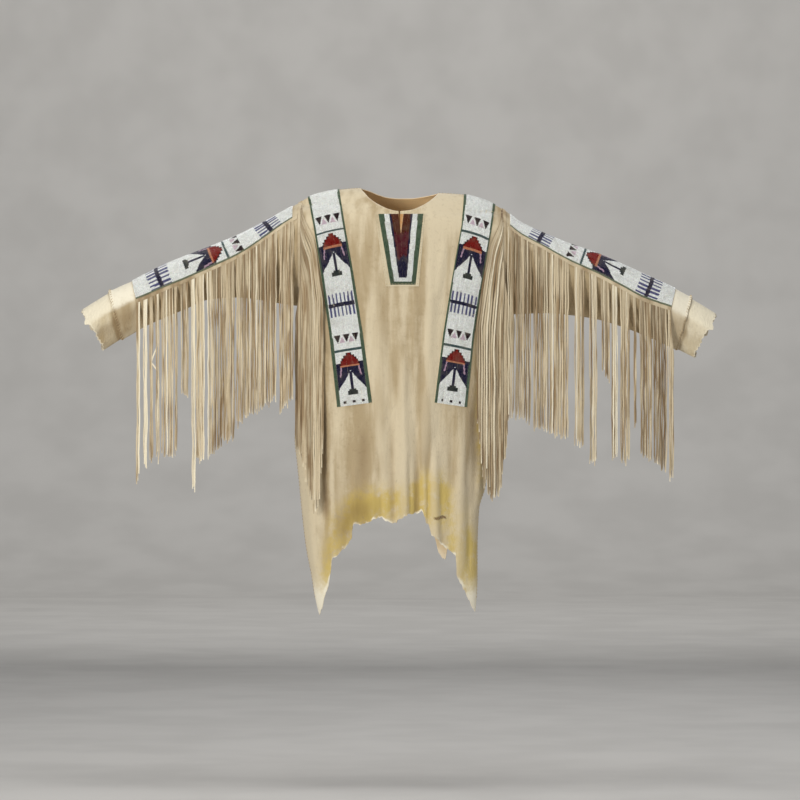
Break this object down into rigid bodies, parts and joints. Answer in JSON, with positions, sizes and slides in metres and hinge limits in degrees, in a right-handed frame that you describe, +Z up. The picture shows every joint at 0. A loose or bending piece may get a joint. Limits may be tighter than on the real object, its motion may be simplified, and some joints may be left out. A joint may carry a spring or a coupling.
{
  "type": "plains war shirt",
  "caption": "Hide shirt, worn form with no wearer, with beaded bands over the shoulders and arms, a beaded bib and long cut fringe.",
  "frame": {"origin": "middle of the neck opening, level with the shoulders that hold the shirt up", "axes": "+X across the shoulders to the viewer's right, -Y out of the front, +Z up"},
  "size_m": [1.5912, 0.1915, 1.064],
  "materials": {
    "hide": "soft tanned hide, napped",
    "pale_hide": "soft tanned hide, pale",
    "fringe": "cut hide strands",
    "beadwork": "rows of opaque glass seed beads"
  },
  "bodies": {
    "root": {"front_hide": "hide", "back_hide": "hide", "neck_bib": "beadwork", "shoulder_band_left": "beadwork", "arm_band_left": "beadwork", "sleeve_left": "hide", "cuff_left": "pale_hide", "arm_fringe_left": "fringe", "armhole_fringe_front_left": "fringe", "armhole_fringe_back_left": "fringe", "shoulder_band_right": "beadwork", "arm_band_right": "beadwork", "sleeve_right": "hide", "cuff_right": "pale_hide", "arm_fringe_right": "fringe", "armhole_fringe_front_right": "fringe", "armhole_fringe_back_right": "fringe"}
  },
  "joints": []
}
